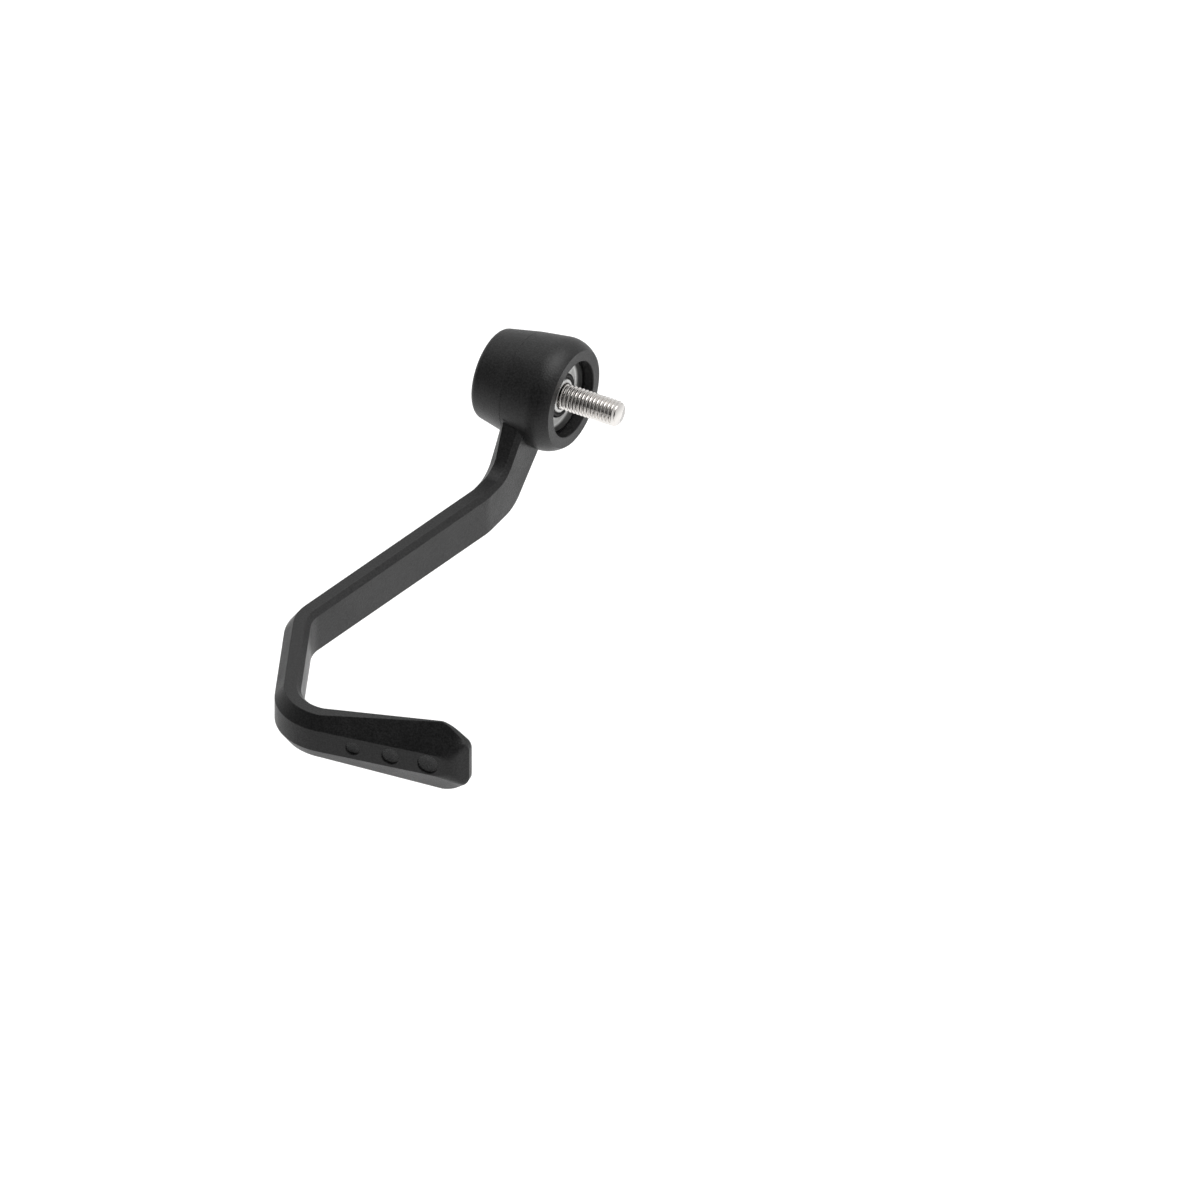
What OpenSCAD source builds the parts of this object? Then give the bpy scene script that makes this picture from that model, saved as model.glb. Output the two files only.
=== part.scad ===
// Brake lever guard for the end of a motorcycle handlebar.
// X runs along the bar towards its middle, Y towards the rider, Z up.
// The origin is the middle of the mounting face, on the axis of the bolt.

/* [Barrel] */
// Length of the barrel, from mounting face to outboard face
barrel_len = 28; // [26:0.5:32]
// Diameter of the cone where the inboard shoulder begins
barrel_d = 35.1; // [33:0.1:38]
// Diameter of the cone at the outboard end
nose_d = 29.2; // [27:0.1:31]
// Length of the rounded inboard shoulder
shoulder_len = 7.3; // [6:0.1:8]
// Radius of the rounded inboard shoulder
shoulder_r = 9; // [8:0.1:12]
// Radius of the outboard edge
nose_r = 2.2; // [0.5:0.1:3]
// Distance of the seam between guard and end cap from the mounting face
seam_x = 16.3; // [15:0.1:18]
// Small chamfer on each side of the seam
seam_chamfer = 0.08; // [0.05:0.01:0.4]

/* [Recess for the handlebar] */
// Diameter of the recess in the mounting face
recess_d = 23.8; // [22.5:0.1:25]
// Depth of the recess down to the step
recess_depth = 3.4; // [2:0.1:4]
// Diameter of the seat that holds the core
seat_d = 23; // [22:0.1:23.4]
// Distance of the back of the seat from the mounting face
seat_x = 9; // [8:0.1:10.5]

/* [Core] */
// Depth of the core's dished floor below the mounting face
floor_depth = 5.2; // [4.6:0.1:6]
// How far the dish narrows from rim to floor, on the radius
dish_draft = 0.5; // [0.2:0.1:1]
// Rounding between the dish's wall and its floor
dish_fillet = 1.6; // [0.5:0.1:1.7]
// Chamfer of the core's rim, which leaves a groove round it
rim_chamfer = 0.3; // [0.2:0.05:0.4]
// Diameter of the boss round the bolt
boss_d = 10.5; // [10:0.1:11]
// Depth of the boss's face below the mounting face
boss_depth = 3.4; // [2.5:0.1:3.9]
// Rounding of the boss's outer edge
boss_edge = 0.5; // [0.2:0.1:0.7]
// Diameter of the core's shank
shank_d = 13.8; // [12:0.1:14.6]
// Thickness of the ring's cord
ring_cord = 1.7; // [1.2:0.1:2]

/* [Bolt] */
// Thread diameter of the bolt
bolt_d = 8; // [8:8]
// Length of the bolt under its head
bolt_len = 35; // [32:1:40]
// Diameter of the bolt head
head_d = 13.3; // [12.5:0.1:13.5]
// Height of the bolt head
head_h = 8; // [7:0.1:8.2]
// Width across the flats of the hexagon socket
hex_af = 6; // [5:0.5:7]
// Depth of the hexagon socket
hex_depth = 4.2; // [3:0.1:5]
// Diameter of the bolt's plain shank, inside the core
waist_d = 7.2; // [6.8:0.1:7.6]
// How far the bolt stands out of the mounting face
bolt_out = 15.9; // [13:0.1:18]

/* [Head bush] */
// Outer diameter of the bush that sinks the bolt head
bush_d = 16.3; // [15.6:0.1:18]
// Depth of the bush's rim below the outboard face
bush_sunk = 0.8; // [0.3:0.1:1.2]
// Thickness of the bush's floor, under the bolt head
bush_floor = 1.6; // [1.2:0.1:2]
// Diameter of the shallow well round the bush
well_d = 18.6; // [17.6:0.1:20]

/* [Arm] */
// Thickness of the arm, seen from above
arm_t = 8; // [7:0.1:9]
// Height of the arm between its bends
arm_h = 15.4; // [14:0.1:17]
// Height of the flat outer wall, between its bevels
wall_h = 7.4; // [6:0.1:8.4]
// Share of the bevel's size that is left where the arm meets the barrel
bevel_start = 0.4; // [0.2:0.05:1]
// Angle of the outer bevels from upright
bevel_angle = 35; // [30:1:40]
// Chamfer on the inner edges
inner_chamfer = 1.5; // [0.8:0.1:2]
// Distance from the bolt's axis down to the middle of the arm
arm_drop = 23; // [21:0.1:26]
// Radius of each bend on its hollow side
bend_r = 11; // [6:0.5:12]
// Fillet between the arm and the barrel
root_fillet = 0.7; // [0.4:0.1:2]

/* [Arm route] */
// Downward slope of the upper edge where the arm leaves the barrel
drop_angle_top = 49.3; // [46:0.1:52]
// Downward slope of the lower edge where the arm leaves the barrel
drop_angle_bottom = 40.1; // [37:0.1:42]
// Reach at which the upper edge turns level
level_reach_top = 26.2; // [25:0.1:28]
// Reach at which the lower edge turns level
level_reach_bottom = 21; // [20:0.1:23]
// Reach at which the arm turns outboard
elbow_reach = 35.9; // [35:0.1:40]
// Length of the outboard run, corner to corner
out_run = 84.1; // [70:0.5:100]
// Angle of the outboard run from straight ahead
out_angle = 10; // [5:1:15]
// Length of the inboard run, corner to corner
in_run = 52; // [45:0.5:60]
// Angle of the inboard run from straight ahead
in_angle = 25; // [20:1:32]

/* [Blade] */
// Angle of the blade from straight ahead
blade_angle = 100; // [94:1:104]
// Length of the blade from its corner to its end
blade_len = 61.6; // [55:0.2:70]
// Rise of each edge along the blade
blade_flare = 6.1; // [5:0.1:8.5]
// Length of the tip, where the edges are cut back
tip_len = 9.2; // [8:0.1:11]
// Slope of the cut across each corner of the tip
tip_cut_angle = 38; // [32:1:44]
// Half the height of the tip's upright end
tip_half = 6.6; // [5.5:0.1:8]
// How far the front wall is turned back at the end
tip_back = 4.3; // [3:0.1:4.6]
// Width of the flat rim round the tip
rim_w = 2.1; // [1.6:0.1:2.1]

/* [Dimples] */
// Diameter of the dimple nearest the bend
dimple_d = 4.3; // [3:0.1:5]
// Growth in diameter from each dimple to the next
dimple_growth = 1; // [0.5:0.1:1.2]
// Spacing of the dimples
dimple_pitch = 11.9; // [10:0.1:12]
// Distance of the first dimple from the blade's corner
dimple_start = 26; // [22:0.1:26.5]
// Depth of each dimple at its edge
dimple_wall = 0.8; // [0.5:0.1:1.5]
// Depth of each dimple in its middle
dimple_depth = 1.2; // [0.9:0.1:2]

/* [Hidden] */
$fn = 96;
// Clearance of round pieces that sit one in the other, on the radius
fit = 0.05;
// Clearance of the bolt in its bores, on the radius
bolt_gap = 0.25;
// Overshoot of a cut past the surface that it opens
over = 1;
// Smallest chamfer that a section still draws
least = 0.03;

seat_r = seat_d / 2;
boss_r = boss_d / 2;
shank_r = shank_d / 2;
ring_r = ring_cord / 2;
bolt_bore_r = bolt_d / 2 + bolt_gap;
head_x = bolt_out - bolt_len;
bush_back_x = head_x + bush_floor;

cone_tilt = atan((barrel_d - nose_d) / 2 / (barrel_len - shoulder_len));
shoulder_c = [barrel_d / 2 - shoulder_r * cos(cone_tilt), -shoulder_len + shoulder_r * sin(cone_tilt)];
shoulder_end = acos(-shoulder_c[1] / shoulder_r);
nose_c = [nose_d / 2 - nose_r * (1 + sin(cone_tilt)) / cos(cone_tilt), -barrel_len + nose_r];

bevel_run = tan(bevel_angle);
arm_rise = (arm_h - wall_h) / 2;
arm_x = -seam_x + 0.15;
flat_end = arm_t - inner_chamfer;
bend_step = 5;
drop_step = 7;
// How far the arm's root is buried in the barrel
root_in = 4;

function heading(a) = [sin(a), -cos(a), 0];
function inward(a) = [cos(a), sin(a), 0];
function mix(a, b, t) = a + (b - a) * t;

// Points of the barrel's outline, as [radius, x], from the mounting face outboard
function shoulder_arc() = [for (i = [0:12])
    let (a = mix(90 - shoulder_end, -cone_tilt, i / 12)) shoulder_c + shoulder_r * [cos(a), sin(a)]];
function nose_arc() = [for (i = [0:8])
    let (a = mix(-cone_tilt, -90, i / 8)) nose_c + nose_r * [cos(a), sin(a)]];
function cone_r(x) = barrel_d / 2 + (x + shoulder_len) * tan(cone_tilt);

// Turns an outline of [radius, x] points about the bolt's axis
module turned(outline) {
    rotate([0, 90, 0]) rotate_extrude() polygon(outline);
}

module bore(d, x0, x1) {
    translate([x0, 0, 0]) rotate([0, 90, 0]) cylinder(d = d, h = x1 - x0);
}

// One section of the arm, eight points, from its upper and lower lines on the outer wall
// station: [upper point, lower point, inward direction, bevel rise, set-back of the wall, chamfer,
//     depth of the bevel's inner edge, outset of the inner wall]
function section(s) = let (w = (s[0] - s[1]) / norm(s[0] - s[1]), n = s[2]) [
    s[0] - s[3] * w + s[4] * n,
    s[0] + s[6] * n,
    s[0] + flat_end * n,
    s[0] - s[5] * w + (flat_end + s[5] + s[7]) * n,
    s[1] + s[5] * w + (flat_end + s[5] + s[7]) * n,
    s[1] + flat_end * n,
    s[1] + s[6] * n,
    s[1] + s[3] * w + s[4] * n];
function bevel_edge(rise) = min(rise * bevel_run, flat_end - least);

// A level stretch has its upper and lower lines at the same place along the arm
function level(p, a, half, rise, back, chamfer, edge) =
    [p + [0, 0, half], p - [0, 0, half], inward(a), rise, back, chamfer, edge, 0];

// The sloping root, in the plane of the outer wall: points as [reach, height]
top_z = -arm_drop + arm_h / 2;
bottom_z = -arm_drop - arm_h / 2;
top_r = bend_r - inner_chamfer;
bottom_r = 12.5;
function slope_arc(reach, z, angle, r, t) = let (a = angle * (1 - t), run = r * tan(angle / 2))
    [reach + run - r * sin(a), z + r - r * cos(a)];
// Distance back up a slope from its corner to the barrel's surface
function to_barrel(reach, z, angle, r) = let (along = reach * cos(angle) - z * sin(angle))
    along - sqrt(r * r - reach * reach - z * z + along * along);
function slope_point(reach, z, angle, back) = [reach - back * cos(angle), z + back * sin(angle)];
function at_wall(p) = [arm_x, -p[0], p[1]];

barrel_r = cone_r(arm_x);
back_top = to_barrel(level_reach_top, top_z, drop_angle_top, barrel_r);
back_bottom = to_barrel(level_reach_bottom, bottom_z, drop_angle_bottom, barrel_r);
arc_top = top_r * tan(drop_angle_top / 2);
arc_bottom = bottom_r * tan(drop_angle_bottom / 2);

// Runs of the root: share of the way from the barrel's surface to the curve of the slope
root_runs = [-1, 0, 0.06, 0.12, 0.18, 0.25, 0.5, 0.75, 1];
root_len = back_top - arc_top;
// The barrel is thicker at the arm's inner wall, so the fillet lies further out there
wall_lag = cone_r(arm_x + arm_t) - barrel_r;
function fillet(d) = d >= root_fillet ? 0
    : root_fillet - sqrt(root_fillet * root_fillet - pow(root_fillet - max(d, 0), 2));

root_stations = [for (t = root_runs) let (along = max(t, 0), d = along * root_len,
        bt = t < 0 ? back_top + root_in : mix(back_top, arc_top, t),
        bb = t < 0 ? back_bottom + root_in : mix(back_bottom, arc_bottom, t),
        top = at_wall(slope_point(level_reach_top, top_z, drop_angle_top, bt)),
        bottom = at_wall(slope_point(level_reach_bottom, bottom_z, drop_angle_bottom, bb)),
        w = (top - bottom) / norm(top - bottom), rise = arm_rise * mix(bevel_start, 1, along))
    [top + fillet(d) * w, bottom - fillet(d) * w, inward(0), rise + fillet(d), 0, inner_chamfer,
     bevel_edge(rise), fillet(d - wall_lag)]];
drop_stations = [for (i = [1:drop_step]) let (t = i / drop_step)
    [at_wall(slope_arc(level_reach_top, top_z, drop_angle_top, top_r, t)),
     at_wall(slope_arc(level_reach_bottom, bottom_z, drop_angle_bottom, bottom_r, t)),
     inward(0), arm_rise, 0, inner_chamfer, bevel_edge(arm_rise), 0]];

// The plan of the arm: corners of the outer wall, and a round bend at each
elbow = [arm_x, -elbow_reach, -arm_drop];
knee = elbow + out_run * heading(-out_angle);
wrist = knee + in_run * heading(in_angle);
function bend(corner, a0, a1) = let (turn = a1 - a0, side = sign(turn),
        r = turn > 0 ? bend_r + arm_t : bend_r,
        start = corner - r * tan(abs(turn) / 2) * heading(a0),
        c = start + side * r * inward(a0), n = ceil(abs(turn) / bend_step))
    [for (i = [0:n]) let (a = mix(a0, a1, i / n))
        level(c - side * r * inward(a), a, arm_h / 2, arm_rise, 0, inner_chamfer, bevel_edge(arm_rise))];

// The blade flares from its bend to the tip, whose corners are cut back and rounded
blade_start = (bend_r + arm_t) * tan((blade_angle - in_angle) / 2);
tip_start = blade_len - tip_len;
function flare(s) = arm_h / 2 + blade_flare * (s - blade_start) / (blade_len - blade_start);
function cut(s) = tip_half + (blade_len - s) * tan(tip_cut_angle);
// Rounds the corner where the lower of two heights, or the greater of two depths, takes over
function soft_min(a, b, r) = abs(a - b) >= r ? min(a, b) : min(a, b) - pow(r - abs(a - b), 2) / (4 * r);
function soft_max(a, b, r) = -soft_min(-a, -b, r);
// Softness of the corner where the flare meets the cut, and radius where the cut meets the end
tip_soft = 3.5;
end_r = 1.7;
function end_round(s) =
    s < blade_len - end_r ? 0 : end_r - sqrt(end_r * end_r - pow(s - blade_len + end_r, 2));
function tip_height(s) = soft_min(flare(s), cut(s), tip_soft) - end_round(s);
// The front wall turns back through an arc and then a short flat
turn_r = 6.6;
turn_angle = 45;
turn_flat = (tip_back - turn_r * (1 - cos(turn_angle))) / sin(turn_angle);
turn_start = blade_len - turn_r * sin(turn_angle) - turn_flat * cos(turn_angle);
function set_back(s) = s <= turn_start ? 0
    : s < turn_start + turn_r * sin(turn_angle) ? turn_r - sqrt(turn_r * turn_r - pow(s - turn_start, 2))
    : tip_back - (blade_len - s) * tan(turn_angle);
// The bevels run out on a flat rim of even width, and the wall widens as it turns back
function blade_station(s) = let (half = tip_height(s), back = set_back(s),
        wall = min(wall_h / 2 + back / bevel_run, half - least),
        edge = min(soft_max((half - wall_h / 2) * bevel_run, flat_end - rim_w, rim_w), flat_end - least))
    level(wrist + s * heading(blade_angle), blade_angle, half, half - wall, back,
        max(least, min(inner_chamfer, blade_len - s)), edge);
tip_runs = 20;
blade_stations = [for (i = [0:tip_runs])
    blade_station(mix(tip_start, blade_len, 1 - pow(1 - i / tip_runs, 1.6)))];

stations = concat(root_stations, drop_stations, bend(elbow, 0, -out_angle),
    bend(knee, -out_angle, in_angle), bend(wrist, in_angle, blade_angle), blade_stations);

// Skin over a list of sections, closed at both ends
module skin(rings) {
    m = len(rings[0]);
    last = (len(rings) - 1) * m;
    sides = [for (i = [0:len(rings) - 2], j = [0:m - 1])
        let (a = i * m + j, b = i * m + (j + 1) % m) [a, b, b + m, a + m]];
    caps = [[for (j = [m - 1:-1:0]) j], [for (j = [0:m - 1]) last + j]];
    polyhedron(points = [for (r = rings, p = r) p], faces = concat(sides, caps));
}

// Round dimples in the blade's front wall, larger towards the tip: a short wall and a hollow floor
module dimples() {
    hollow = dimple_depth - dimple_wall;
    for (i = [0:2]) {
        r = (dimple_d + i * dimple_growth) / 2;
        ball = (r * r + hollow * hollow) / (2 * hollow);
        turn = asin(r / ball);
        floor_arc = [for (k = [0:6]) let (a = turn * (1 - k / 6))
            [ball * sin(a), dimple_depth - ball * (1 - cos(a))]];
        translate(wrist + (dimple_start + i * dimple_pitch) * heading(blade_angle))
            rotate([0, 0, blade_angle]) turned(concat([[0, -over], [r, -over]], floor_arc));
    }
}

// The moulded guard: barrel ring, arm and blade in one piece
module guard_arm() color([0.11, 0.11, 0.12]) {
    difference() {
        union() {
            turned(concat([[0, 0]], shoulder_arc(),
                [[cone_r(-seam_x + seam_chamfer), -seam_x + seam_chamfer],
                 [cone_r(-seam_x) - seam_chamfer, -seam_x], [0, -seam_x]]));
            skin([for (s = stations) section(s)]);
        }
        bore(recess_d, -recess_depth, over);
        bore(seat_d, -seat_x, over);
        bore(shank_d + 2 * fit, -seam_x - over, over);
        dimples();
    }
}

// The outboard end of the barrel, with the well for the head bush
module end_cap() color([0.11, 0.11, 0.12]) {
    difference() {
        turned(concat([[0, -seam_x], [cone_r(-seam_x) - seam_chamfer, -seam_x],
            [cone_r(-seam_x - seam_chamfer), -seam_x - seam_chamfer]], nose_arc(), [[0, -barrel_len]]));
        bore(shank_d + 2 * fit, -barrel_len, over - seam_x);
        bore(bush_d + 2 * fit, -barrel_len - over, bush_back_x);
        bore(well_d, -barrel_len - over, -barrel_len + bush_sunk);
    }
}

// Turned metal core: dished face towards the bar, boss and shank
module clamp_core() color([0.75, 0.75, 0.74]) {
    rim_r = seat_r - fit;
    rim_x = -recess_depth - 2 * fit;
    lip_r = rim_r - rim_chamfer - fit;
    edge_c = [boss_r - boss_edge, -boss_depth - boss_edge];
    boss_arc = [for (i = [0:4]) edge_c + boss_edge * [cos(90 - i * 22.5), sin(90 - i * 22.5)]];
    lean = atan(dish_draft / (floor_depth + rim_x));
    fillet_r = min(dish_fillet, floor_depth + rim_x);
    fillet_c = [lip_r - dish_draft - fillet_r / tan(45 + lean / 2), -floor_depth + fillet_r];
    dish_arc = [for (i = [0:8]) let (a = mix(-90, -lean, i / 8)) fillet_c + fillet_r * [cos(a), sin(a)]];
    turned(concat([[bolt_bore_r, -boss_depth]], boss_arc, [[boss_r, -floor_depth]], dish_arc,
        [[lip_r, rim_x], [lip_r + fit, rim_x], [rim_r, rim_x - rim_chamfer], [rim_r, -seat_x],
        [shank_r, -seat_x], [shank_r, bush_back_x], [bolt_bore_r, bush_back_x]]));
}

// Rubber ring round the core's boss
module o_ring() color([0.05, 0.05, 0.05]) {
    translate([ring_r + fit - floor_depth, 0, 0]) rotate([0, 90, 0])
        rotate_extrude() translate([boss_r + fit + ring_r, 0]) circle(r = ring_r, $fn = 32);
}

// Counterbored bush that takes the bolt head
module head_bush() color([0.8, 0.8, 0.79]) {
    rim_x = -barrel_len + bush_sunk;
    edge = 0.3;
    turned([[bolt_bore_r, bush_back_x], [bush_d / 2, bush_back_x], [bush_d / 2, rim_x + edge],
        [bush_d / 2 - edge, rim_x], [head_d / 2 + bolt_gap, rim_x], [head_d / 2 + bolt_gap, head_x],
        [bolt_bore_r, head_x]]);
}

// Socket head bolt that clamps the guard to the bar
module mounting_bolt() color([0.85, 0.84, 0.82]) {
    point = 0.7;
    edge = 0.5;
    outer = head_x - head_h;
    thread_x = -boss_depth + 0.1;
    difference() {
        turned([[0, bolt_out], [bolt_d / 2 - point, bolt_out], [bolt_d / 2, bolt_out - point],
            [bolt_d / 2, thread_x], [waist_d / 2, thread_x], [waist_d / 2, head_x],
            [head_d / 2, head_x], [head_d / 2, outer + edge], [head_d / 2 - edge, outer], [0, outer]]);
        translate([outer - over, 0, 0]) rotate([0, 90, 0])
            cylinder(r = hex_af / sqrt(3), h = hex_depth + over, $fn = 6);
    }
}

guard_arm();
end_cap();
clamp_core();
o_ring();
head_bush();
mounting_bolt();
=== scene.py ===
import math

import bpy
import bmesh
import numpy as np
from mathutils import Matrix, Vector


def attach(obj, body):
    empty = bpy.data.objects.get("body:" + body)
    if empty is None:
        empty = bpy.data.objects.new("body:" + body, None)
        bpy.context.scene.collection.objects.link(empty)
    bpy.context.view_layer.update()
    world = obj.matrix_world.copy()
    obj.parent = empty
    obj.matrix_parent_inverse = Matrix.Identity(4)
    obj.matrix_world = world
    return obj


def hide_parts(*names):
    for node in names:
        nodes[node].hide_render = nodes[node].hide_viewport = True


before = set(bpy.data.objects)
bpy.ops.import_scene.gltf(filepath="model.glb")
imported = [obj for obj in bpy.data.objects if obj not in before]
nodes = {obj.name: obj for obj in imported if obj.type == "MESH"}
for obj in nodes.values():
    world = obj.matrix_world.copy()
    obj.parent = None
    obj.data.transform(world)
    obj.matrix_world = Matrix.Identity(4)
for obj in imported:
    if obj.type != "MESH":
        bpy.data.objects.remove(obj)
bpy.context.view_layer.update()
MM = 0.001

# Sizes of the guard in millimetres and degrees, as the solids have them
BARREL_LEN, BARREL_D, NOSE_D = 28.0, 35.1, 29.2
SHOULDER_LEN, SHOULDER_R = 7.3, 9.0
SEAM_X, SEAM_CHAMFER = 16.3, 0.08
RECESS_R, RECESS_DEPTH, SEAT_R, SEAT_X = 11.9, 3.4, 11.5, 9.0
SHANK_R, FIT = 6.9, 0.05
ARM_T, ARM_H, WALL_H, BEVEL, CHAMFER = 8.0, 15.4, 7.4, 35.0, 1.5
BEVEL_START, DROP, BEND_R, ROOT_FILLET = 0.4, 23.0, 11.0, 0.7
TOP_ANGLE, BOTTOM_ANGLE, TOP_REACH, BOTTOM_REACH = 49.3, 40.1, 26.2, 21.0
ELBOW, OUT_RUN, OUT_ANGLE, IN_RUN, IN_ANGLE = 35.9, 84.1, 10.0, 52.0, 25.0
BLADE_ANGLE, BLADE_LEN, FLARE = 100.0, 61.6, 6.1
TIP_LEN, TIP_CUT, TIP_HALF, TIP_BACK, RIM_W = 9.2, 38.0, 6.6, 4.3, 2.1
TIP_SOFT, END_R, TURN_R, TURN = 3.5, 1.7, 6.6, 45.0
DIMPLES, DIMPLE_D, DIMPLE_GROWTH, DIMPLE_PITCH = 3, 4.3, 1.0, 11.9
DIMPLE_START, DIMPLE_WALL, DIMPLE_DEPTH = 26.0, 0.8, 1.2
ARM_GAP = 0.15         # from the seam to the outer wall of the arm
INTO_BARREL = 4.0      # how far the arm is carried into the barrel, to be joined to it
LEAST = 0.03           # least width of a face

# Roundings that only the look has: corners of the section, the wall's corners along the arm
# and at the tip, and where the second takes over from the first
CORNER_R, CHAMFER_R, WALL_R, TIP_WALL_R = 0.3, 0.15, 0.4, 7.0
SOFT_LEAD, SOFT_RUN, WALL_SOFT = 2.5, 4.5, 2.0
MOST_CUT = 2.4         # most that a rounding takes off a side
SMALL_SHARE, EVEN_SHARE, LARGE_SHARE = 0.15, 0.45, 0.85

# Steps of the roundings and of the arm's stations
ROUND_STEPS, ARC_STEPS, SLOPE_STEPS, BEND_STEP = 7, 5, 14, 2.5
FLARE_STEPS, TIP_STEPS, TIP_CROWDING = 12, 40, 1.6


def rad(a):
    return math.radians(a)


def v3(*a):
    return np.array(a, float)


def heading(a):
    return v3(math.sin(rad(a)), -math.cos(rad(a)), 0)


def inward(a):
    return v3(math.cos(rad(a)), math.sin(rad(a)), 0)


def mix(a, b, t):
    return a + (b - a) * t


# Outline of the barrel as radius and x
TILT = math.degrees(math.atan((BARREL_D - NOSE_D) / 2 / (BARREL_LEN - SHOULDER_LEN)))
SHOULDER_C = (BARREL_D / 2 - SHOULDER_R * math.cos(rad(TILT)),
              -SHOULDER_LEN + SHOULDER_R * math.sin(rad(TILT)))
SHOULDER_END = math.degrees(math.acos(-SHOULDER_C[1] / SHOULDER_R))


def cone_r(x):
    return BARREL_D / 2 + (x + SHOULDER_LEN) * math.tan(rad(TILT))


# A station of the arm holds: upper point, lower point, inward direction, bevel rise, set-back,
# chamfer, depth of the bevel's inner edge, outset of the inner wall, rounding of the wall's corners
BEVEL_RUN = math.tan(rad(BEVEL))
RISE = (ARM_H - WALL_H) / 2
ARM_X = -SEAM_X + ARM_GAP
FLAT_END = ARM_T - CHAMFER


def bevel_edge(rise):
    return min(rise * BEVEL_RUN, FLAT_END - LEAST)


def level(p, a, half, rise, back, chamfer, edge, soft=WALL_R):
    """A section of the level part of the arm, at p and with heading a."""
    return (p + v3(0, 0, half), p - v3(0, 0, half), inward(a), rise, back, chamfer, edge, 0, soft)


TOP_Z, BOTTOM_Z = -DROP + ARM_H / 2, -DROP - ARM_H / 2
TOP_R, BOTTOM_R = BEND_R - CHAMFER, 12.5


def slope_arc(reach, z, angle, r, t):
    """Point (reach, z) at share t of the arc from the slope to the level."""
    a = angle * (1 - t)
    run = r * math.tan(rad(angle / 2))
    return (reach + run - r * math.sin(rad(a)), z + r - r * math.cos(rad(a)))


def to_barrel(reach, z, angle, r):
    """Length of the slope's edge from its lower end to the barrel of radius r."""
    along = reach * math.cos(rad(angle)) - z * math.sin(rad(angle))
    return along - math.sqrt(r * r - reach * reach - z * z + along * along)


def slope_point(reach, z, angle, back):
    return (reach - back * math.cos(rad(angle)), z + back * math.sin(rad(angle)))


def at_wall(p):
    return v3(ARM_X, -p[0], p[1])


def fillet(d):
    """Outset of the root fillet at distance d from the barrel."""
    if d >= ROOT_FILLET:
        return 0
    return ROOT_FILLET - math.sqrt(ROOT_FILLET ** 2 - (ROOT_FILLET - max(d, 0)) ** 2)


def root_stations():
    out = []
    r = cone_r(ARM_X)
    top = to_barrel(TOP_REACH, TOP_Z, TOP_ANGLE, r)
    bottom = to_barrel(BOTTOM_REACH, BOTTOM_Z, BOTTOM_ANGLE, r)
    arc_top = TOP_R * math.tan(rad(TOP_ANGLE / 2))
    arc_bottom = BOTTOM_R * math.tan(rad(BOTTOM_ANGLE / 2))
    lag = cone_r(ARM_X + ARM_T) - r
    inside, near, far = [-1], [0.02 * i for i in range(13)], [0.25 + 0.125 * i for i in range(7)]
    for t in inside + near + far:
        along = max(t, 0)
        d = along * (top - arc_top)
        bt = top + INTO_BARREL if t < 0 else mix(top, arc_top, t)
        bb = bottom + INTO_BARREL if t < 0 else mix(bottom, arc_bottom, t)
        up = at_wall(slope_point(TOP_REACH, TOP_Z, TOP_ANGLE, bt))
        low = at_wall(slope_point(BOTTOM_REACH, BOTTOM_Z, BOTTOM_ANGLE, bb))
        w = (up - low) / np.linalg.norm(up - low)
        rise = RISE * mix(BEVEL_START, 1, along)
        out.append((up + fillet(d) * w, low - fillet(d) * w, inward(0), rise + fillet(d), 0, CHAMFER,
                    bevel_edge(rise), fillet(d - lag), WALL_R))
    for i in range(1, SLOPE_STEPS + 1):
        t = i / SLOPE_STEPS
        out.append((at_wall(slope_arc(TOP_REACH, TOP_Z, TOP_ANGLE, TOP_R, t)),
                    at_wall(slope_arc(BOTTOM_REACH, BOTTOM_Z, BOTTOM_ANGLE, BOTTOM_R, t)),
                    inward(0), RISE, 0, CHAMFER, bevel_edge(RISE), 0, WALL_R))
    return out


ELBOW_P = v3(ARM_X, -ELBOW, -DROP)
KNEE_P = ELBOW_P + OUT_RUN * heading(-OUT_ANGLE)
WRIST_P = KNEE_P + IN_RUN * heading(IN_ANGLE)


def bend(corner, a0, a1):
    turn = a1 - a0
    side = 1 if turn > 0 else -1
    r = BEND_R + ARM_T if turn > 0 else BEND_R
    start = corner - r * math.tan(rad(abs(turn) / 2)) * heading(a0)
    c = start + side * r * inward(a0)
    n = math.ceil(abs(turn) / BEND_STEP)
    angles = [mix(a0, a1, i / n) for i in range(n + 1)]
    return [level(c - side * r * inward(a), a, ARM_H / 2, RISE, 0, CHAMFER, bevel_edge(RISE)) for a in angles]


BLADE_START = (BEND_R + ARM_T) * math.tan(rad((BLADE_ANGLE - IN_ANGLE) / 2))
TURN_FLAT = (TIP_BACK - TURN_R * (1 - math.cos(rad(TURN)))) / math.sin(rad(TURN))
TURN_S = BLADE_LEN - TURN_R * math.sin(rad(TURN)) - TURN_FLAT * math.cos(rad(TURN))


def soft_min(a, b, r):
    """The lesser of a and b, with a smooth change of width r from one to the other."""
    return min(a, b) - max(0, r - abs(a - b)) ** 2 / (4 * r)


def tip_height(s):
    """Half the height of the blade at distance s along it, near the tip."""
    flare = ARM_H / 2 + FLARE * (s - BLADE_START) / (BLADE_LEN - BLADE_START)
    low = soft_min(flare, TIP_HALF + (BLADE_LEN - s) * math.tan(rad(TIP_CUT)), TIP_SOFT)
    if s > BLADE_LEN - END_R:
        low -= END_R - math.sqrt(max(0, END_R ** 2 - (s - BLADE_LEN + END_R) ** 2))
    return low


def set_back(s):
    """How far the front wall is turned back at distance s."""
    if s <= TURN_S:
        return 0
    if s < TURN_S + TURN_R * math.sin(rad(TURN)):
        return TURN_R - math.sqrt(TURN_R ** 2 - (s - TURN_S) ** 2)
    return TIP_BACK - (BLADE_LEN - s) * math.tan(rad(TURN))


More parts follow.
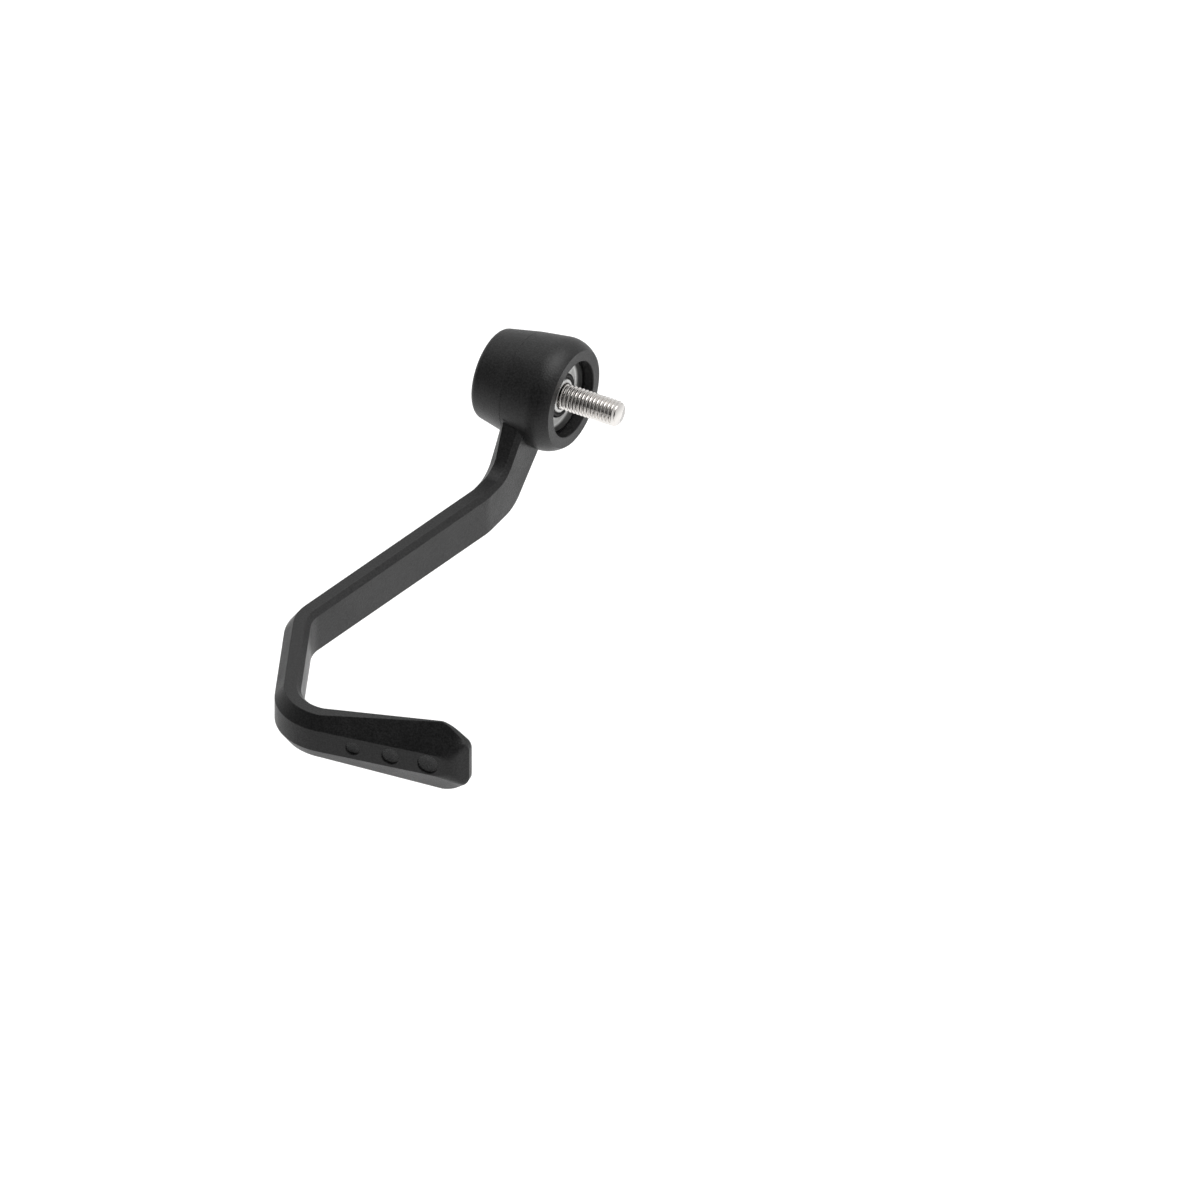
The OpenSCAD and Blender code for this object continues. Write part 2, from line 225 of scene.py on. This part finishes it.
def blade_stations():
    out = []
    tip = BLADE_LEN - TIP_LEN
    places = [mix(BLADE_START, tip, i / FLARE_STEPS) for i in range(1, FLARE_STEPS)]
    places += [mix(tip, BLADE_LEN, 1 - (1 - i / TIP_STEPS) ** TIP_CROWDING) for i in range(TIP_STEPS + 1)]
    for s in places:
        at = max(s, tip)
        half, back = tip_height(at), set_back(s)
        wall = soft_min(WALL_H / 2 + back / BEVEL_RUN, half - LEAST, WALL_SOFT)
        edge = -soft_min(-(half - WALL_H / 2) * BEVEL_RUN, RIM_W - FLAT_END, RIM_W)
        edge = min(edge, FLAT_END - LEAST)
        if s < tip:
            t = (s - BLADE_START) / (tip - BLADE_START)
            half, edge = mix(ARM_H / 2, half, t), mix(bevel_edge(RISE), edge, t)
        soft = mix(WALL_R, TIP_WALL_R, min(1, max(0, (s - TURN_S + SOFT_LEAD) / SOFT_RUN)))
        out.append(level(WRIST_P + s * heading(BLADE_ANGLE), BLADE_ANGLE, half, half - wall, back,
                         max(LEAST, min(CHAMFER, BLADE_LEN - s)), edge, soft))
    return out


def section(s):
    """Closed outline of one station, with rounded corners."""
    up, low, n, rise, back, chamfer, edge, outset, soft = s
    w = (up - low) / np.linalg.norm(up - low)
    inner = FLAT_END + chamfer + outset
    return rounded([up - rise * w + back * n, up + edge * n, up + FLAT_END * n,
                    up - chamfer * w + inner * n, low + chamfer * w + inner * n,
                    low + FLAT_END * n, low + edge * n, low + rise * w + back * n],
                   (soft, CORNER_R, CHAMFER_R, CORNER_R, CORNER_R, CHAMFER_R, CORNER_R, soft))


def share(i, m):
    """Share of the side before corner i that its rounding may take: the wall's take most of a bevel."""
    return {1: SMALL_SHARE, m - 1: LARGE_SHARE}.get(i % m, EVEN_SHARE)


def rounded(points, radii):
    """Rounds each corner of a closed section by a curve that keeps within its two sides."""
    out = []
    m = len(points)
    for i in range(m):
        p, a, b, radius = points[i], points[i - 1], points[(i + 1) % m], radii[i]
        da, db = a - p, b - p
        la, lb = np.linalg.norm(da), np.linalg.norm(db)
        da, db = da / la, db / lb
        half = math.acos(max(-1, min(1, float(da @ db)))) / 2
        back = min(radius / max(math.tan(half), 1e-3), MOST_CUT)
        start = p + min(back, share(i, m) * la) * da
        end = p + min(back, (1 - share(i + 1, m)) * lb) * db
        for k in range(ROUND_STEPS + 1):
            t = k / ROUND_STEPS
            out.append((1 - t) ** 2 * start + 2 * t * (1 - t) * p + t * t * end)
    return out


def mesh_object(name, verts, faces):
    """New object from vertices in millimetres."""
    me = bpy.data.meshes.new(name)
    me.from_pydata([tuple(v * MM) for v in verts], [], faces)
    me.validate()
    bm = bmesh.new()
    bm.from_mesh(me)
    bmesh.ops.remove_doubles(bm, verts=bm.verts, dist=2e-6)
    bmesh.ops.recalc_face_normals(bm, faces=bm.faces)
    bm.to_mesh(me)
    bm.free()
    ob = bpy.data.objects.new(name, me)
    bpy.context.scene.collection.objects.link(ob)
    return ob


def loft(name, rings):
    """Closed skin over rings that have the same number of points."""
    m = len(rings[0])
    verts = [p for r in rings for p in r]
    faces = [(i * m + j, i * m + (j + 1) % m, (i + 1) * m + (j + 1) % m, (i + 1) * m + j)
             for i in range(len(rings) - 1) for j in range(m)]
    faces.append(tuple(range(m))[::-1])
    last = (len(rings) - 1) * m
    faces.append(tuple(last + j for j in range(m)))
    return mesh_object(name, verts, faces)


def lathe(name, outline, n):
    """Turns a closed outline of (radius, x) points about the X axis."""
    verts, faces, rows = [], [], []
    for r, x in outline:
        if r < 1e-6:
            rows.append([len(verts)] * n)
            verts.append(v3(x, 0, 0))
        else:
            rows.append(list(range(len(verts), len(verts) + n)))
            turns = [2 * math.pi * i / n for i in range(n)]
            verts += [v3(x, r * math.cos(a), r * math.sin(a)) for a in turns]
    m = len(rows)
    for k in range(m):
        a, b = rows[k], rows[(k + 1) % m]
        if a[0] == a[1] and b[0] == b[1]:
            continue
        for i in range(n):
            j = (i + 1) % n
            f = []
            for q in (a[i], a[j], b[j], b[i]):
                if q not in f:
                    f.append(q)
            faces.append(tuple(f))
    return mesh_object(name, verts, faces)


def round_outline(points):
    """Each point is (r, x) or (r, x, radius): a radius rounds that corner of the outline."""
    out = []
    m = len(points)
    for i in range(m):
        p = np.array(points[i][:2], float)
        radius = points[i][2] if len(points[i]) > 2 else 0
        if not radius:
            out.append(tuple(p))
            continue
        a, b = np.array(points[i - 1][:2], float), np.array(points[(i + 1) % m][:2], float)
        da, db = (a - p) / np.linalg.norm(a - p), (b - p) / np.linalg.norm(b - p)
        half = math.acos(max(-1, min(1, float(da @ db)))) / 2
        back = radius / math.tan(half)
        c = p + (da + db) / np.linalg.norm(da + db) * radius / math.sin(half)
        s, e = p + back * da - c, p + back * db - c
        for k in range(ARC_STEPS + 1):
            t = k / ARC_STEPS
            d = s * (1 - t) + e * t
            out.append(tuple(c + d / np.linalg.norm(d) * radius))
    return out


def boolean(target, tool, operation):
    """Joins the tool to the target or cuts it out, and removes the tool."""
    mod = target.modifiers.new("cut", "BOOLEAN")
    mod.operation, mod.object, mod.solver = operation, tool, "EXACT"
    dg = bpy.context.evaluated_depsgraph_get()
    me = bpy.data.meshes.new_from_object(target.evaluated_get(dg))
    target.modifiers.clear()
    old = target.data
    target.data = me
    bpy.data.meshes.remove(old)
    bpy.data.objects.remove(tool)


def smooth(ob, angle):
    """Smooth faces, with sharp edges where two faces meet at more than the angle."""
    for p in ob.data.polygons:
        p.use_smooth = True
    ob.data.set_sharp_from_angle(angle=rad(angle))
    mod = ob.modifiers.new("even", "WEIGHTED_NORMAL")
    mod.keep_sharp = True
    mod.weight = 80


def colour_ramp(nt, *stops):
    """Colour ramp with two stops of (position, red, green, blue)."""
    ramp = nt.nodes.new("ShaderNodeValToRGB")
    for e, stop in zip(ramp.color_ramp.elements, stops):
        e.position, e.color = stop[0], (*stop[1:], 1)
    return ramp


def material(name):
    mat = bpy.data.materials.new(name)
    mat.use_nodes = True
    nt = mat.node_tree
    return mat, nt, nt.nodes["Principled BSDF"]


def node(nt, kind, **inputs):
    """New node with its inputs set: From_Min stands for the input "From Min"."""
    n = nt.nodes.new(kind)
    for k, v in inputs.items():
        n.inputs[k.replace("_", " ")].default_value = v
    return n


def moulded_black():
    """Black moulding: fine grain in the bump and colour, slight wear in the gloss, and in the dimples a
    smoother gloss with painted light that makes their colour paler.
    """
    mat, nt, bsdf = material("moulded_black")
    co = nt.nodes.new("ShaderNodeTexCoord")
    grain = node(nt, "ShaderNodeTexNoise", Scale=1900.0, Detail=4.0, Roughness=0.65)
    mottle = node(nt, "ShaderNodeTexNoise", Scale=90.0, Detail=4.0, Roughness=0.55)
    nt.links.new(co.outputs["Object"], grain.inputs["Vector"])
    nt.links.new(co.outputs["Object"], mottle.inputs["Vector"])
    tone = colour_ramp(nt, (0.3, 0.007, 0.007, 0.0072), (0.75, 0.0105, 0.0105, 0.0107))
    nt.links.new(mottle.outputs["Fac"], tone.inputs["Fac"])
    # Painted light: faces in the dimples get a colour up to 2.2 times paler, and a smoother gloss
    dimple_gloss_and_light = nt.nodes.new("ShaderNodeAttribute")
    dimple_gloss_and_light.attribute_name = "dimple_gloss_and_light"
    painted_light_gain = node(nt, "ShaderNodeMapRange", To_Min=1.0, To_Max=2.2)
    nt.links.new(dimple_gloss_and_light.outputs["Fac"], painted_light_gain.inputs["Value"])
    speck = node(nt, "ShaderNodeMapRange", From_Min=0.38, From_Max=0.62, To_Min=0.1, To_Max=1.9)
    nt.links.new(grain.outputs["Fac"], speck.inputs["Value"])
    level = nt.nodes.new("ShaderNodeMath")
    level.operation = "MULTIPLY"
    nt.links.new(painted_light_gain.outputs["Result"], level.inputs[0])
    nt.links.new(speck.outputs["Result"], level.inputs[1])
    paler = nt.nodes.new("ShaderNodeVectorMath")
    paler.operation = "SCALE"
    nt.links.new(tone.outputs["Color"], paler.inputs[0])
    nt.links.new(level.outputs[0], paler.inputs["Scale"])
    nt.links.new(paler.outputs["Vector"], bsdf.inputs["Base Color"])
    gloss = node(nt, "ShaderNodeMapRange", From_Min=0.3, From_Max=0.7, To_Min=0.36, To_Max=0.46)
    nt.links.new(mottle.outputs["Fac"], gloss.inputs["Value"])
    smoother = nt.nodes.new("ShaderNodeMath")
    smoother.operation = "MULTIPLY_ADD"
    smoother.inputs[1].default_value = -0.16
    nt.links.new(dimple_gloss_and_light.outputs["Fac"], smoother.inputs[0])
    nt.links.new(gloss.outputs["Result"], smoother.inputs[2])
    nt.links.new(smoother.outputs[0], bsdf.inputs["Roughness"])
    bump = node(nt, "ShaderNodeBump", Strength=0.6, Distance=0.00016)
    nt.links.new(grain.outputs["Fac"], bump.inputs["Height"])
    nt.links.new(bump.outputs["Normal"], bsdf.inputs["Normal"])
    bsdf.inputs["IOR"].default_value = 1.41
    return mat


def turned_metal(name, colour, rough, rings=2200.0, strength=0.25, painted_shade_band=(0.0, 1.0, 1.0)):
    """Turned metal with fine rings round the X axis.

    The last argument gives the two radii between which painted shade darkens the tone, as the shade near a
    recess wall, and the share of its tone that is left beyond them.
    """
    mat, nt, bsdf = material(name)
    co = nt.nodes.new("ShaderNodeTexCoord")
    sep = nt.nodes.new("ShaderNodeSeparateXYZ")
    nt.links.new(co.outputs["Object"], sep.inputs["Vector"])
    flat = nt.nodes.new("ShaderNodeCombineXYZ")
    nt.links.new(sep.outputs["Y"], flat.inputs["Y"])
    nt.links.new(sep.outputs["Z"], flat.inputs["Z"])
    length = nt.nodes.new("ShaderNodeVectorMath")
    length.operation = "LENGTH"
    nt.links.new(flat.outputs["Vector"], length.inputs[0])
    place = nt.nodes.new("ShaderNodeCombineXYZ")
    nt.links.new(length.outputs["Value"], place.inputs["X"])
    nt.links.new(sep.outputs["X"], place.inputs["Y"])
    wave = node(nt, "ShaderNodeTexNoise", Scale=rings, Detail=2.0, Roughness=0.5)
    nt.links.new(place.outputs["Vector"], wave.inputs["Vector"])
    soil = node(nt, "ShaderNodeTexNoise", Scale=260.0, Detail=3.0, Roughness=0.6)
    nt.links.new(co.outputs["Object"], soil.inputs["Vector"])
    tone = colour_ramp(nt, (0.25, *(0.88 * c for c in colour)), (0.7, *colour))
    nt.links.new(soil.outputs["Fac"], tone.inputs["Fac"])
    # Painted shade: the tone is darkened between the two radii and stays darkened beyond them
    shade = node(nt, "ShaderNodeMapRange", From_Min=painted_shade_band[0], From_Max=painted_shade_band[1], To_Min=1.0, To_Max=painted_shade_band[2])
    shade.interpolation_type = "SMOOTHSTEP"
    nt.links.new(length.outputs["Value"], shade.inputs["Value"])
    painted_shade_tone = nt.nodes.new("ShaderNodeVectorMath")
    painted_shade_tone.operation = "SCALE"
    nt.links.new(tone.outputs["Color"], painted_shade_tone.inputs[0])
    nt.links.new(shade.outputs["Result"], painted_shade_tone.inputs["Scale"])
    nt.links.new(painted_shade_tone.outputs["Vector"], bsdf.inputs["Base Color"])
    gloss = node(nt, "ShaderNodeMapRange", To_Min=rough * 0.85, To_Max=rough * 1.2)
    nt.links.new(soil.outputs["Fac"], gloss.inputs["Value"])
    nt.links.new(gloss.outputs["Result"], bsdf.inputs["Roughness"])
    bump = node(nt, "ShaderNodeBump", Strength=strength, Distance=0.00001)
    nt.links.new(wave.outputs["Fac"], bump.inputs["Height"])
    nt.links.new(bump.outputs["Normal"], bsdf.inputs["Normal"])
    bsdf.inputs["Metallic"].default_value = 1.0
    return mat


def rubber():
    """Smooth black rubber, a little soiled."""
    mat, nt, bsdf = material("ring_rubber")
    co = nt.nodes.new("ShaderNodeTexCoord")
    soil = node(nt, "ShaderNodeTexNoise", Scale=700.0, Detail=3.0, Roughness=0.6)
    nt.links.new(co.outputs["Object"], soil.inputs["Vector"])
    tone = colour_ramp(nt, (0.3, 0.002, 0.002, 0.002), (0.8, 0.0045, 0.0045, 0.0045))
    nt.links.new(soil.outputs["Fac"], tone.inputs["Fac"])
    nt.links.new(tone.outputs["Color"], bsdf.inputs["Base Color"])
    bump = node(nt, "ShaderNodeBump", Strength=0.15, Distance=0.00003)
    nt.links.new(soil.outputs["Fac"], bump.inputs["Height"])
    nt.links.new(bump.outputs["Normal"], bsdf.inputs["Normal"])
    bsdf.inputs["Roughness"].default_value = 0.34
    bsdf.inputs["Specular IOR Level"].default_value = 0.18
    return mat


BLACK = moulded_black()
# The core's dish gets painted shade, darker from 9.9 to 10.7 mm out, towards the recess wall
CORE = turned_metal("core_metal", (0.97, 0.97, 0.96), 0.62, 2200.0, 0.1, painted_shade_band=(0.0099, 0.0107, 0.11))
BUSH = turned_metal("bush_steel", (0.8, 0.79, 0.78), 0.24)
BOLT = turned_metal("bolt_steel", (0.77, 0.745, 0.72), 0.17, 1500.0, 0.12)
RUBBER = rubber()


# The moulded guard
BARREL_SIDES, CUT_SIDES, DIMPLE_SIDES = 192, 192, 96
MOUTH_EASE = 0.2            # rounding-off at the mouth of the recess
DIMPLE_MOUTH = ((0.9, -1), (0.9, -0.5), (0.28, -0.05), (0.14, 0.05), (0.05, 0.15), (0, 0.3))
FLOOR_STEPS, SHOULDER_STEPS = 12, 20


def shoulder_points():
    out = []
    for i in range(SHOULDER_STEPS + 1):
        a = rad(mix(90 - SHOULDER_END, -TILT, i / SHOULDER_STEPS))
        out.append((SHOULDER_C[0] + SHOULDER_R * math.cos(a), SHOULDER_C[1] + SHOULDER_R * math.sin(a)))
    return out


def dimple_cutter(r):
    """Cutter for a dimple of radius r: a mouth that is slightly rounded, and a hollow floor."""
    hollow = DIMPLE_DEPTH - DIMPLE_WALL
    ball = (r * r + hollow * hollow) / (2 * hollow)
    turn = math.asin(r / ball)
    outline = [(0, -1)] + [(r + out, depth) for out, depth in DIMPLE_MOUTH]
    for k in range(FLOOR_STEPS + 1):
        a = turn * (1 - k / FLOOR_STEPS)
        outline.append((ball * math.sin(a), DIMPLE_DEPTH - ball * (1 - math.cos(a))))
    return lathe("dimple", outline, DIMPLE_SIDES)


def guard():
    seam = [(cone_r(-SEAM_X + SEAM_CHAMFER), -SEAM_X + SEAM_CHAMFER),
            (cone_r(-SEAM_X) - SEAM_CHAMFER, -SEAM_X), (0, -SEAM_X)]
    body = lathe("guard_arm_looks", round_outline([(0, 0)] + shoulder_points() + seam), BARREL_SIDES)
    places = (root_stations() + bend(ELBOW_P, 0, -OUT_ANGLE) + bend(KNEE_P, -OUT_ANGLE, IN_ANGLE)
              + bend(WRIST_P, IN_ANGLE, BLADE_ANGLE) + blade_stations())
    boolean(body, loft("arm", [section(s) for s in places]), "UNION")
    recess = lathe("recess", round_outline([
        (0, 1), (RECESS_R + MOUTH_EASE, 1), (RECESS_R + MOUTH_EASE, 0.001), (RECESS_R, -MOUTH_EASE),
        (RECESS_R, -RECESS_DEPTH), (SEAT_R, -RECESS_DEPTH), (SEAT_R, -SEAT_X),
        (SHANK_R + FIT, -SEAT_X), (SHANK_R + FIT, -SEAM_X - 1), (0, -SEAM_X - 1)]), CUT_SIDES)
    boolean(body, recess, "DIFFERENCE")
    for i in range(DIMPLES):
        cutter = dimple_cutter((DIMPLE_D + i * DIMPLE_GROWTH) / 2)
        at = WRIST_P + (DIMPLE_START + i * DIMPLE_PITCH) * heading(BLADE_ANGLE)
        cutter.data.transform(Matrix.Translation(Vector(at * MM)) @ Matrix.Rotation(rad(BLADE_ANGLE), 4, "Z"))
        boolean(body, cutter, "DIFFERENCE")
    # Faces in the dimples are set to 1, for their painted light and smoother gloss
    dimple_gloss_and_light = body.data.attributes.new("dimple_gloss_and_light", "FLOAT", "FACE")
    for f in body.data.polygons:
        at = np.array(f.center) / MM - WRIST_P
        depth, s = at @ inward(BLADE_ANGLE), at @ heading(BLADE_ANGLE)
        for i in range(DIMPLES):
            off = math.hypot(s - DIMPLE_START - i * DIMPLE_PITCH, at[2])
            if 0.6 < depth < 2 and off < (DIMPLE_D + i * DIMPLE_GROWTH) / 2 + 0.2:
                dimple_gloss_and_light.data[f.index].value = 1.0
    smooth(body, 28)
    body.data.materials.append(BLACK)
    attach(body, "root")
    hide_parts("guard_arm")


guard()


# The bolt, with its thread and hexagon socket
BOLT_R, BOLT_OUT, BOLT_LEN, WAIST_R, TIP_CHAMFER = 4.0, 15.9, 35.0, 3.6, 0.75
HEAD_D, HEAD_H, HEAD_ROUND, SEAT_ROUND = 13.3, 8.0, 0.6, 0.2
HEX_AF, HEX_DEPTH, LIP_TOP, LIP_LOW = 6.0, 4.2, 1.35, 0.35
THREAD_X, PITCH, THREAD_DEPTH, CREST, FLANK = -3.3, 1.25, 0.72, 0.16, 0.66
TURN_STEPS, PITCH_STEPS, HEAD_SIDES, LIP_SIDES = 72, 14, 128, 96


def thread_radius(x, phase):
    """Radius of the thread at x: flat crest, sloping flanks and a rounded root."""
    t = ((x / PITCH - phase) % 1.0)
    d = abs(t - 0.5) * 2
    flank = min(1.0, max(0.0, (d - CREST) / FLANK))
    soft = flank * flank * (3 - 2 * flank)
    return BOLT_R - THREAD_DEPTH * mix(flank, soft, 0.5)


def bolt():
    head_x = BOLT_OUT - BOLT_LEN
    outer = head_x - HEAD_H
    body = lathe("mounting_bolt_looks", round_outline([
        (0, THREAD_X), (WAIST_R, THREAD_X), (WAIST_R, head_x), (HEAD_D / 2, head_x, SEAT_ROUND),
        (HEAD_D / 2, outer, HEAD_ROUND), (0, outer)]), HEAD_SIDES)
    r = HEX_AF / math.sqrt(3)
    hexagon = [v3(0, r * math.cos(math.pi / 3 * k), r * math.sin(math.pi / 3 * k)) for k in range(6)]
    key = loft("key", [[p + v3(x, 0, 0) for p in hexagon] for x in (outer - 1, outer + HEX_DEPTH)])
    boolean(body, key, "DIFFERENCE")
    lip = lathe("lip", [(0, outer - 1), (r + LIP_TOP, outer - 1), (r - LIP_LOW, outer + 0.7),
                        (0, outer + 0.7)], LIP_SIDES)
    boolean(body, lip, "DIFFERENCE")
    rows = int((BOLT_OUT - THREAD_X) / PITCH * PITCH_STEPS) + 1 + PITCH_STEPS
    verts, faces, index = [], [], {}

    def vertex(j, i):
        if i == TURN_STEPS:
            j, i = j + PITCH_STEPS, 0
        if (j, i) not in index:
            x = THREAD_X - PITCH + j * PITCH / PITCH_STEPS + PITCH * i / TURN_STEPS
            a = 2 * math.pi * i / TURN_STEPS
            rr = thread_radius(x, i / TURN_STEPS)
            x = min(max(x, THREAD_X), BOLT_OUT)
            rr = min(rr, BOLT_R - TIP_CHAMFER + (BOLT_OUT - x))
            index[j, i] = len(verts)
            verts.append(v3(x, rr * math.cos(a), rr * math.sin(a)))
        return index[j, i]

    for j in range(rows + 1):
        for i in range(TURN_STEPS):
            faces.append((vertex(j, i), vertex(j, i + 1), vertex(j + 1, i + 1), vertex(j + 1, i)))
    centre = len(verts)
    verts.append(v3(BOLT_OUT, 0, 0))
    top = rows + 1
    for i in range(TURN_STEPS):
        faces.append((vertex(top, i), vertex(top, i + 1), centre))
    thread = mesh_object("thread", verts, faces)
    smooth(thread, 50)
    smooth(body, 35)
    bm = bmesh.new()
    bm.from_mesh(thread.data)
    bmesh.ops.dissolve_degenerate(bm, dist=1e-6, edges=bm.edges)
    bm.to_mesh(thread.data)
    bm.free()
    for ob, name in ((body, "mounting_bolt_looks"), (thread, "mounting_bolt_thread")):
        ob.name = name
        ob.data.materials.append(BOLT)
        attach(ob, "root")
        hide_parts("mounting_bolt")


bolt()

for name, mat in (("end_cap", BLACK), ("clamp_core", CORE), ("o_ring", RUBBER), ("head_bush", BUSH)):
    ob = nodes[name]
    ob.data.materials.clear()
    ob.data.materials.append(mat)


# Floor, light and camera, in metres
FLOOR_Z, FLOOR_HALF = -0.11, 30.0
GLOW = 0.34                          # what the floor adds to its own light for the camera and in reflections
POOL_AT, POOL_NEAR, POOL_FAR = (0.02, 0.01), 0.12, 0.3


def floor():
    """Pale floor: it glows a little, in reflections only near the object, and is clear from below."""
    me = bpy.data.meshes.new("floor")
    corners = [(x * FLOOR_HALF, y * FLOOR_HALF, FLOOR_Z) for x, y in ((-1, -1), (1, -1), (1, 1), (-1, 1))]
    me.from_pydata(corners, [], [(0, 1, 2, 3)])
    ob = bpy.data.objects.new("floor", me)
    bpy.context.scene.collection.objects.link(ob)
    mat, nt, bsdf = material("floor_pale")
    out = nt.nodes["Material Output"]
    nt.nodes.remove(bsdf)
    path = nt.nodes.new("ShaderNodeLightPath")
    diffuse = node(nt, "ShaderNodeBsdfDiffuse", Color=(0.86, 0.86, 0.86, 1))
    glow = node(nt, "ShaderNodeEmission", Color=(1, 1, 1, 1))
    shiny = nt.nodes.new("ShaderNodeMath")
    shiny.operation = "MAXIMUM"
    nt.links.new(path.outputs["Is Glossy Ray"], shiny.inputs[0])
    nt.links.new(path.outputs["Is Transmission Ray"], shiny.inputs[1])
    co = nt.nodes.new("ShaderNodeTexCoord")
    far = nt.nodes.new("ShaderNodeVectorMath")
    far.operation = "DISTANCE"
    far.inputs[1].default_value = (*POOL_AT, FLOOR_Z)
    nt.links.new(co.outputs["Object"], far.inputs[0])
    pool = node(nt, "ShaderNodeMapRange", From_Min=POOL_NEAR, From_Max=POOL_FAR, To_Min=GLOW, To_Max=0.0)
    nt.links.new(far.outputs["Value"], pool.inputs["Value"])
    seen = nt.nodes.new("ShaderNodeMath")
    seen.operation = "MULTIPLY"
    seen.inputs[1].default_value = GLOW
    nt.links.new(path.outputs["Is Camera Ray"], seen.inputs[0])
    both = nt.nodes.new("ShaderNodeMath")
    both.operation = "MULTIPLY_ADD"
    nt.links.new(pool.outputs["Result"], both.inputs[0])
    nt.links.new(shiny.outputs[0], both.inputs[1])
    nt.links.new(seen.outputs[0], both.inputs[2])
    nt.links.new(both.outputs[0], glow.inputs["Strength"])
    add = nt.nodes.new("ShaderNodeAddShader")
    nt.links.new(diffuse.outputs[0], add.inputs[0])
    nt.links.new(glow.outputs[0], add.inputs[1])
    side = nt.nodes.new("ShaderNodeNewGeometry")
    clear = nt.nodes.new("ShaderNodeBsdfTransparent")
    one_way = nt.nodes.new("ShaderNodeMixShader")
    nt.links.new(side.outputs["Backfacing"], one_way.inputs[0])
    nt.links.new(add.outputs[0], one_way.inputs[1])
    nt.links.new(clear.outputs[0], one_way.inputs[2])
    nt.links.new(one_way.outputs[0], out.inputs["Surface"])
    me.materials.append(mat)


floor()


def area(name, place, target, size, power):
    lamp = bpy.data.lights.new(name, "AREA")
    lamp.shape, lamp.size, lamp.size_y, lamp.energy = "RECTANGLE", size[0], size[1], power
    ob = bpy.data.objects.new(name, lamp)
    ob.location = place
    ob.rotation_euler = (Vector(target) - Vector(place)).to_track_quat("-Z", "Y").to_euler()
    bpy.context.scene.collection.objects.link(ob)


area("top_light", (0.2, 0.12, 1.1), (0, -0.07, 0), (1.15, 1.0), 9.6)

# World: pale all round, darker ahead and above, where the photographer stands
world = bpy.data.worlds.new("studio")
bpy.context.scene.world = world
world.use_nodes = True
wt = world.node_tree
back = wt.nodes["Background"]
co = wt.nodes.new("ShaderNodeTexCoord")
dot = wt.nodes.new("ShaderNodeVectorMath")
dot.operation = "DOT_PRODUCT"
dot.inputs[1].default_value = (-0.1, -0.95, 0.3)
wt.links.new(co.outputs["Generated"], dot.inputs[0])
ramp = wt.nodes.new("ShaderNodeValToRGB")
ramp.color_ramp.interpolation = "EASE"
e = ramp.color_ramp.elements
e[0].position, e[0].color = 0.0, (0.84, 0.84, 0.84, 1)
e[1].position, e[1].color = 0.97, (0.04, 0.04, 0.04, 1)
for place, level in ((0.62, 0.26), (0.84, 0.23)):
    e.new(place).color = (level, level, level, 1)
wt.links.new(dot.outputs["Value"], ramp.inputs["Fac"])
wt.links.new(ramp.outputs["Color"], back.inputs["Color"])
back.inputs["Strength"].default_value = 1.0

# White under the level of the floor, which hides it from the object
white = node(wt, "ShaderNodeBackground", Color=(1, 1, 1, 1), Strength=1.0)
sep = wt.nodes.new("ShaderNodeSeparateXYZ")
wt.links.new(co.outputs["Generated"], sep.inputs[0])
under = node(wt, "ShaderNodeMapRange", From_Min=-0.01, From_Max=-0.03)
wt.links.new(sep.outputs["Z"], under.inputs["Value"])
sky = wt.nodes.new("ShaderNodeMixShader")
wt.links.new(under.outputs["Result"], sky.inputs[0])
wt.links.new(back.outputs[0], sky.inputs[1])
wt.links.new(white.outputs[0], sky.inputs[2])
wt.links.new(sky.outputs[0], wt.nodes["World Output"].inputs["Surface"])

# Camera at the photograph's angle, without perspective, as in the photograph
AZ, EL = rad(30), rad(35.264)
TO_CAMERA = v3(math.sin(AZ) * math.cos(EL), -math.cos(AZ) * math.cos(EL), math.sin(EL))
RIGHT = v3(math.cos(AZ), math.sin(AZ), 0)
UP = v3(-math.sin(AZ) * math.sin(EL), math.cos(AZ) * math.sin(EL), math.cos(EL))
FRAME_PX, PX_PER_MM, DISTANCE = 1200.0, 3.35, 2.0
ORIGIN_PX = (573.7, 399.35)
aim = (RIGHT * (FRAME_PX / 2 - ORIGIN_PX[0]) - UP * (FRAME_PX / 2 - ORIGIN_PX[1])) / PX_PER_MM * MM
cam = bpy.data.cameras.new("camera")
cam.type, cam.ortho_scale = "ORTHO", FRAME_PX / PX_PER_MM * MM
cam.clip_start, cam.clip_end = 0.05, 100
cam_ob = bpy.data.objects.new("camera", cam)
cam_ob.location = Vector(aim + TO_CAMERA * DISTANCE)
cam_ob.rotation_euler = (-Vector(TO_CAMERA)).to_track_quat("-Z", "Y").to_euler()
bpy.context.scene.collection.objects.link(cam_ob)
bpy.context.scene.camera = cam_ob
bpy.context.scene.view_settings.view_transform = "Standard"
